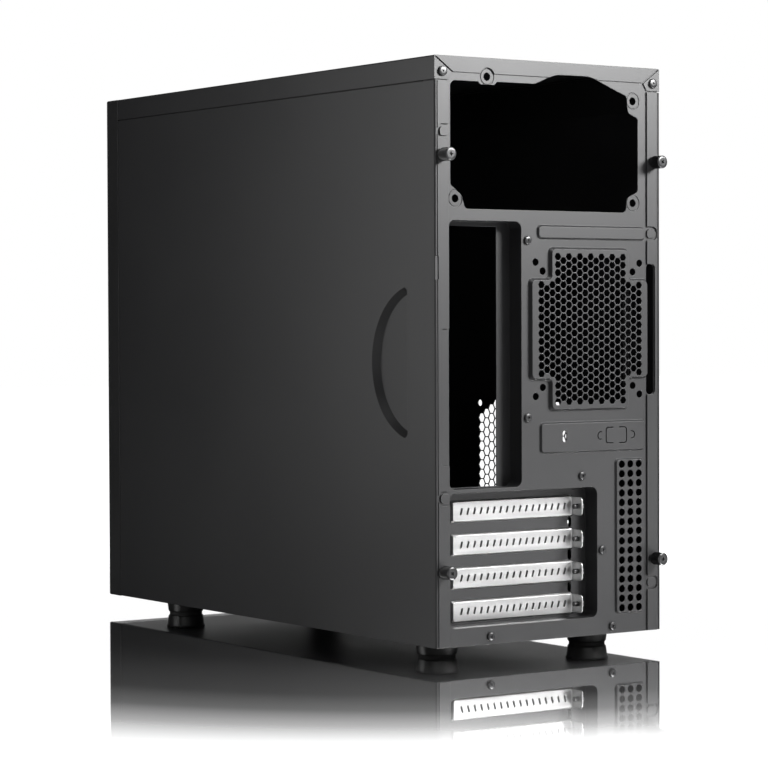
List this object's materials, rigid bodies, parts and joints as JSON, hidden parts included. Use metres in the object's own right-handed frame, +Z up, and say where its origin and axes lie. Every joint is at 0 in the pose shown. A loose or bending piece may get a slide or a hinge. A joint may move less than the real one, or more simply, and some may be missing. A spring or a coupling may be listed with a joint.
{
  "type": "computer tower",
  "caption": "Black steel micro-ATX computer tower case with sliding side panels on thumbscrews, rear fan grille, card slot covers, drive bays and a plastic front bezel.",
  "frame": {"origin": "centre of the bounding box in X and Y, at the floor the feet stand on", "axes": "+Z up, the front bezel faces -Y, the rear sheet faces +Y, the board tray is on the +X side"},
  "size_m": [0.175, 0.4212, 0.3655],
  "materials": {
    "steel_black": "fine textured satin powder coat",
    "steel_inner": "satin powder coat",
    "cover_silver": "satin plated steel",
    "screw_black": "black zinc",
    "brass_standoff": "satin",
    "plastic_black": "matt",
    "bezel_plastic": "satin",
    "mesh_black": "matt",
    "filter_foam": "open foam",
    "button_gloss": "polished",
    "led_lens": "clear diffused",
    "connector_metal": "plated",
    "board_green": "solder mask",
    "foot_plastic": "matt",
    "pad_rubber": "matt"
  },
  "bodies": {
    "chassis": {"rear_panel": "steel_black", "bottom_panel": "steel_black", "front_frame": "steel_black", "top_cover": "steel_black", "motherboard_tray": "steel_inner", "standoffs": "brass_standoff", "psu_shelf": "steel_inner", "psu_rail": "steel_inner", "top_rails": "steel_inner", "optical_bay_cage": "steel_inner", "drive_cage": "steel_inner", "slot_cover_1": "cover_silver", "slot_cover_2": "cover_silver", "slot_cover_3": "cover_silver", "slot_cover_4": "cover_silver", "slot_screws": "screw_black", "rear_screws": "screw_black", "cover_screws": "screw_black", "fan_frame": "plastic_black", "fan_screws": "screw_black", "foot_rear_right": "foot_plastic", "foot_rear_left": "foot_plastic", "foot_front_right": "foot_plastic", "foot_front_left": "foot_plastic", "foot_pads": "pad_rubber", "foot_screws": "screw_black"},
    "right_panel": {"right_side_panel": "steel_black"},
    "left_panel": {"left_side_panel": "steel_black"},
    "bezel": {"front_bezel": "bezel_plastic", "front_mesh": "mesh_black", "dust_filter": "filter_foam", "power_led": "led_lens", "drive_led": "led_lens", "usb_port_right": "connector_metal", "usb_port_left": "connector_metal", "usb_tongues": "plastic_black", "audio_jacks": "plastic_black", "front_io_board": "board_green"},
    "bay_cover_lower": {"bay_cover_lower": "bezel_plastic"},
    "bay_cover_upper": {"bay_cover_upper": "bezel_plastic"},
    "power_button": {"power_button": "button_gloss"},
    "reset_button": {"reset_button": "button_gloss"},
    "fan_rotor": {"fan_rotor": "plastic_black"},
    "thumbscrew_right_lower": {"thumbscrew_right_lower": "screw_black"},
    "thumbscrew_right_upper": {"thumbscrew_right_upper": "screw_black"},
    "thumbscrew_left_lower": {"thumbscrew_left_lower": "screw_black"},
    "thumbscrew_left_upper": {"thumbscrew_left_upper": "screw_black"}
  },
  "joints": [
    {"name": "right_panel_slide", "type": "slide", "parent": "chassis", "child": "right_panel", "axis": [0, 1, 0], "range_m": [0, 0.015]},
    {"name": "thumbscrew_right_lower_turn", "type": "hinge", "parent": "right_panel", "child": "thumbscrew_right_lower", "pos_m": [0.0821, 0.20135, 0.0558], "axis": [0, 1, 0], "continuous": true},
    {"name": "thumbscrew_right_upper_turn", "type": "hinge", "parent": "right_panel", "child": "thumbscrew_right_upper", "pos_m": [0.0821, 0.20135, 0.3062], "axis": [0, 1, 0], "continuous": true},
    {"name": "left_panel_slide", "type": "slide", "parent": "chassis", "child": "left_panel", "axis": [0, 1, 0], "range_m": [0, 0.015]},
    {"name": "thumbscrew_left_lower_turn", "type": "hinge", "parent": "left_panel", "child": "thumbscrew_left_lower", "pos_m": [-0.0821, 0.20135, 0.0558], "axis": [0, 1, 0], "continuous": true},
    {"name": "thumbscrew_left_upper_turn", "type": "hinge", "parent": "left_panel", "child": "thumbscrew_left_upper", "pos_m": [-0.0821, 0.20135, 0.3062], "axis": [0, 1, 0], "continuous": true},
    {"name": "bezel_pull", "type": "slide", "parent": "chassis", "child": "bezel", "axis": [0, -1, 0], "range_m": [0, 0.03]},
    {"name": "bay_cover_lower_pull", "type": "slide", "parent": "bezel", "child": "bay_cover_lower", "axis": [0, -1, 0], "range_m": [0, 0.02]},
    {"name": "bay_cover_upper_pull", "type": "slide", "parent": "bezel", "child": "bay_cover_upper", "axis": [0, -1, 0], "range_m": [0, 0.02]},
    {"name": "power_press", "type": "slide", "parent": "bezel", "child": "power_button", "axis": [0, 1, 0], "range_m": [0, 0.0016], "stiffness_N_per_m": 400},
    {"name": "reset_press", "type": "slide", "parent": "bezel", "child": "reset_button", "axis": [0, 1, 0], "range_m": [0, 0.0016], "stiffness_N_per_m": 400},
    {"name": "fan_spin", "type": "hinge", "parent": "chassis", "child": "fan_rotor", "pos_m": [0, -0.17565, 0.094], "axis": [0, 1, 0], "continuous": true}
  ]
}
